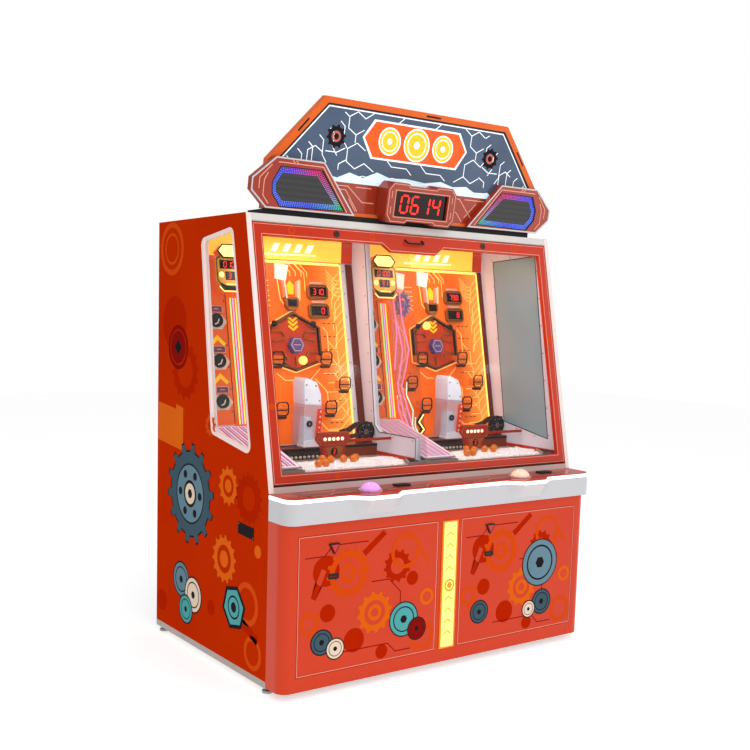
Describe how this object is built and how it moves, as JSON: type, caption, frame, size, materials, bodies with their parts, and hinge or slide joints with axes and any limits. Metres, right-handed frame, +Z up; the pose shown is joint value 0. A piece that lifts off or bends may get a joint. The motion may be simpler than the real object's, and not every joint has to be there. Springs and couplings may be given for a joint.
{
  "type": "coin pusher machine",
  "caption": "Two-station coin pusher arcade cabinet with sloped glass door, leaning playfields, sliding pushers, button console, service doors and a lit marquee.",
  "frame": {"origin": "on the floor under the middle of the bounding box", "axes": "+Z up, the players stand on the -Y side, +X to the right as seen from the front"},
  "size_m": [1.653, 1.216, 2.3742],
  "materials": {
    "side_panel": "gloss printed laminate",
    "trim_rubber": "satin",
    "window_glass": "clear",
    "inner_wall": "satin laminate",
    "steel_grey": "satin",
    "foot_steel": "satin",
    "caster_steel": "zinc plated",
    "base_shell": "gloss",
    "centre_light": "lit acrylic",
    "console_white": "gloss",
    "console_light": "lit acrylic",
    "console_deck": "printed",
    "black_plastic": "satin",
    "sill_white": "satin",
    "roof_white": "satin",
    "back_board": "matt laminate",
    "pin_steel": "satin",
    "playfield": "lit print",
    "feature_column": "lit print",
    "clear_acrylic": "clear",
    "cup_clear": "clear",
    "tower_white": "gloss",
    "field_sign": "lit print",
    "bed_metal": "satin",
    "surround_gold": "gold print",
    "drive_grey": "satin",
    "play_pieces": "gloss",
    "marquee_frame": "gloss",
    "marquee_face": "lit print",
    "marquee_housing": "satin",
    "speaker_pod": "gloss",
    "speaker_mesh": "perforated",
    "score_display": "gloss",
    "score_lens": "dark",
    "dispenser_grey": "satin",
    "bin_steel": "satin",
    "electronics": "satin",
    "service_door": "gloss print",
    "ticket_outlet": "satin",
    "door_frame": "gloss",
    "door_glass": "clear",
    "handle_black": "satin",
    "lock_brass": "satin",
    "button_lens_left": "lit",
    "button_lens_right": "lit",
    "pusher": "satin",
    "lift_wheel": "gloss",
    "caster_rubber": "matt"
  },
  "bodies": {
    "cabinet": {"side_panel_left": "side_panel", "side_panel_right": "side_panel", "side_trims": "trim_rubber", "window_panes": "window_glass", "inner_walls": "inner_wall", "base_tray": "steel_grey", "levelling_feet": "foot_steel", "caster_brackets": "caster_steel", "base_front": "base_shell", "centre_light": "centre_light", "console_shell": "console_white", "console_light_strip": "console_light", "console_deck": "console_deck", "coin_entries": "black_plastic", "door_sill": "sill_white", "roof": "roof_white", "back_panel": "back_board", "hinge_pins": "pin_steel", "playfield_backs": "playfield", "feature_columns": "feature_column", "lane_fences": "clear_acrylic", "ball_cups": "cup_clear", "dispenser_towers": "tower_white", "field_signs": "field_sign", "coin_beds": "bed_metal", "pusher_surrounds": "surround_gold", "pusher_drives": "drive_grey", "play_pieces": "play_pieces", "marquee_frame": "marquee_frame", "marquee_face": "marquee_face", "marquee_housing": "marquee_housing", "speaker_pods": "speaker_pod", "speakers": "speaker_mesh", "score_display": "score_display", "score_lens": "score_lens", "ticket_dispensers": "dispenser_grey", "token_bins": "bin_steel", "electronics": "electronics"},
    "service_door_left": {"service_door_left": "service_door", "ticket_outlet_left": "ticket_outlet"},
    "service_door_right": {"service_door_right": "service_door", "ticket_outlet_right": "ticket_outlet"},
    "glass_door": {"glass_door_frame": "door_frame", "glass_door_pane": "door_glass", "glass_door_handle": "handle_black"},
    "door_lock_left": {"door_lock_left": "lock_brass"},
    "door_lock_right": {"door_lock_right": "lock_brass"},
    "button_left": {"button_left": "button_lens_left"},
    "button_right": {"button_right": "button_lens_right"},
    "pusher_left": {"pusher_left": "pusher"},
    "pusher_right": {"pusher_right": "pusher"},
    "lift_wheel_left": {"lift_wheel_left": "lift_wheel"},
    "lift_wheel_right": {"lift_wheel_right": "lift_wheel"},
    "caster_swivel_left": {"caster_fork_left": "caster_steel"},
    "caster_swivel_right": {"caster_fork_right": "caster_steel"},
    "caster_wheel_front_left": {"caster_wheel_front_left": "caster_rubber"},
    "caster_wheel_front_right": {"caster_wheel_front_right": "caster_rubber"},
    "caster_wheel_rear_left": {"caster_wheel_rear_left": "caster_rubber"},
    "caster_wheel_rear_right": {"caster_wheel_rear_right": "caster_rubber"},
    "rear_door": {"rear_door": "back_board"}
  },
  "joints": [
    {"name": "service_door_left_hinge", "type": "hinge", "parent": "cabinet", "child": "service_door_left", "pos_m": [-0.746, -0.511, 0.368], "axis": [0, 0, -1], "range_deg": [0, 95]},
    {"name": "service_door_right_hinge", "type": "hinge", "parent": "cabinet", "child": "service_door_right", "pos_m": [0.746, -0.511, 0.368], "axis": [0, 0, 1], "range_deg": [0, 95]},
    {"name": "glass_door_hinge", "type": "hinge", "parent": "cabinet", "child": "glass_door", "pos_m": [0, -0.38464, 0.8424], "axis": [1, 0, 0], "range_deg": [0, 70]},
    {"name": "door_lock_left_turn", "type": "hinge", "parent": "glass_door", "child": "door_lock_left", "pos_m": [-0.404, -0.20167, 1.82867], "axis": [0, -0.9806, 0.1961], "range_deg": [0, 90]},
    {"name": "door_lock_right_turn", "type": "hinge", "parent": "glass_door", "child": "door_lock_right", "pos_m": [0.404, -0.20167, 1.82867], "axis": [0, -0.9806, 0.1961], "range_deg": [0, 90]},
    {"name": "button_left_press", "type": "slide", "parent": "cabinet", "child": "button_left", "axis": [0, 0, -1], "range_m": [0, 0.004], "stiffness_N_per_m": 1500, "springref_m": -0.004},
    {"name": "button_right_press", "type": "slide", "parent": "cabinet", "child": "button_right", "axis": [0, 0, -1], "range_m": [0, 0.004], "stiffness_N_per_m": 1500, "springref_m": -0.004},
    {"name": "pusher_left_stroke", "type": "slide", "parent": "cabinet", "child": "pusher_left", "axis": [0, -1, 0], "range_m": [0, 0.07]},
    {"name": "pusher_right_stroke", "type": "slide", "parent": "cabinet", "child": "pusher_right", "axis": [0, -1, 0], "range_m": [0, 0.07]},
    {"name": "lift_wheel_left_spin", "type": "hinge", "parent": "cabinet", "child": "lift_wheel_left", "pos_m": [-0.065, 0.026, 0.968], "axis": [0, -1, 0], "continuous": true},
    {"name": "lift_wheel_right_spin", "type": "hinge", "parent": "cabinet", "child": "lift_wheel_right", "pos_m": [0.746, 0.026, 0.968], "axis": [0, -1, 0], "continuous": true},
    {"name": "caster_swivel_left_turn", "type": "hinge", "parent": "cabinet", "child": "caster_swivel_left", "pos_m": [-0.69, 0.48, 0.056], "axis": [0, 0, 1], "continuous": true},
    {"name": "caster_wheel_front_left_spin", "type": "hinge", "parent": "cabinet", "child": "caster_wheel_front_left", "pos_m": [-0.69, -0.28, 0.028], "axis": [1, 0, 0], "continuous": true},
    {"name": "caster_wheel_rear_left_spin", "type": "hinge", "parent": "caster_swivel_left", "child": "caster_wheel_rear_left", "pos_m": [-0.69, 0.466, 0.028], "axis": [1, 0, 0], "continuous": true},
    {"name": "caster_swivel_right_turn", "type": "hinge", "parent": "cabinet", "child": "caster_swivel_right", "pos_m": [0.69, 0.48, 0.056], "axis": [0, 0, 1], "continuous": true},
    {"name": "caster_wheel_front_right_spin", "type": "hinge", "parent": "cabinet", "child": "caster_wheel_front_right", "pos_m": [0.69, -0.28, 0.028], "axis": [1, 0, 0], "continuous": true},
    {"name": "caster_wheel_rear_right_spin", "type": "hinge", "parent": "caster_swivel_right", "child": "caster_wheel_rear_right", "pos_m": [0.69, 0.466, 0.028], "axis": [1, 0, 0], "continuous": true},
    {"name": "rear_door_hinge", "type": "hinge", "parent": "cabinet", "child": "rear_door", "pos_m": [0.291, 0.599, 0.685], "axis": [0, 0, -1], "range_deg": [0, 95]}
  ]
}
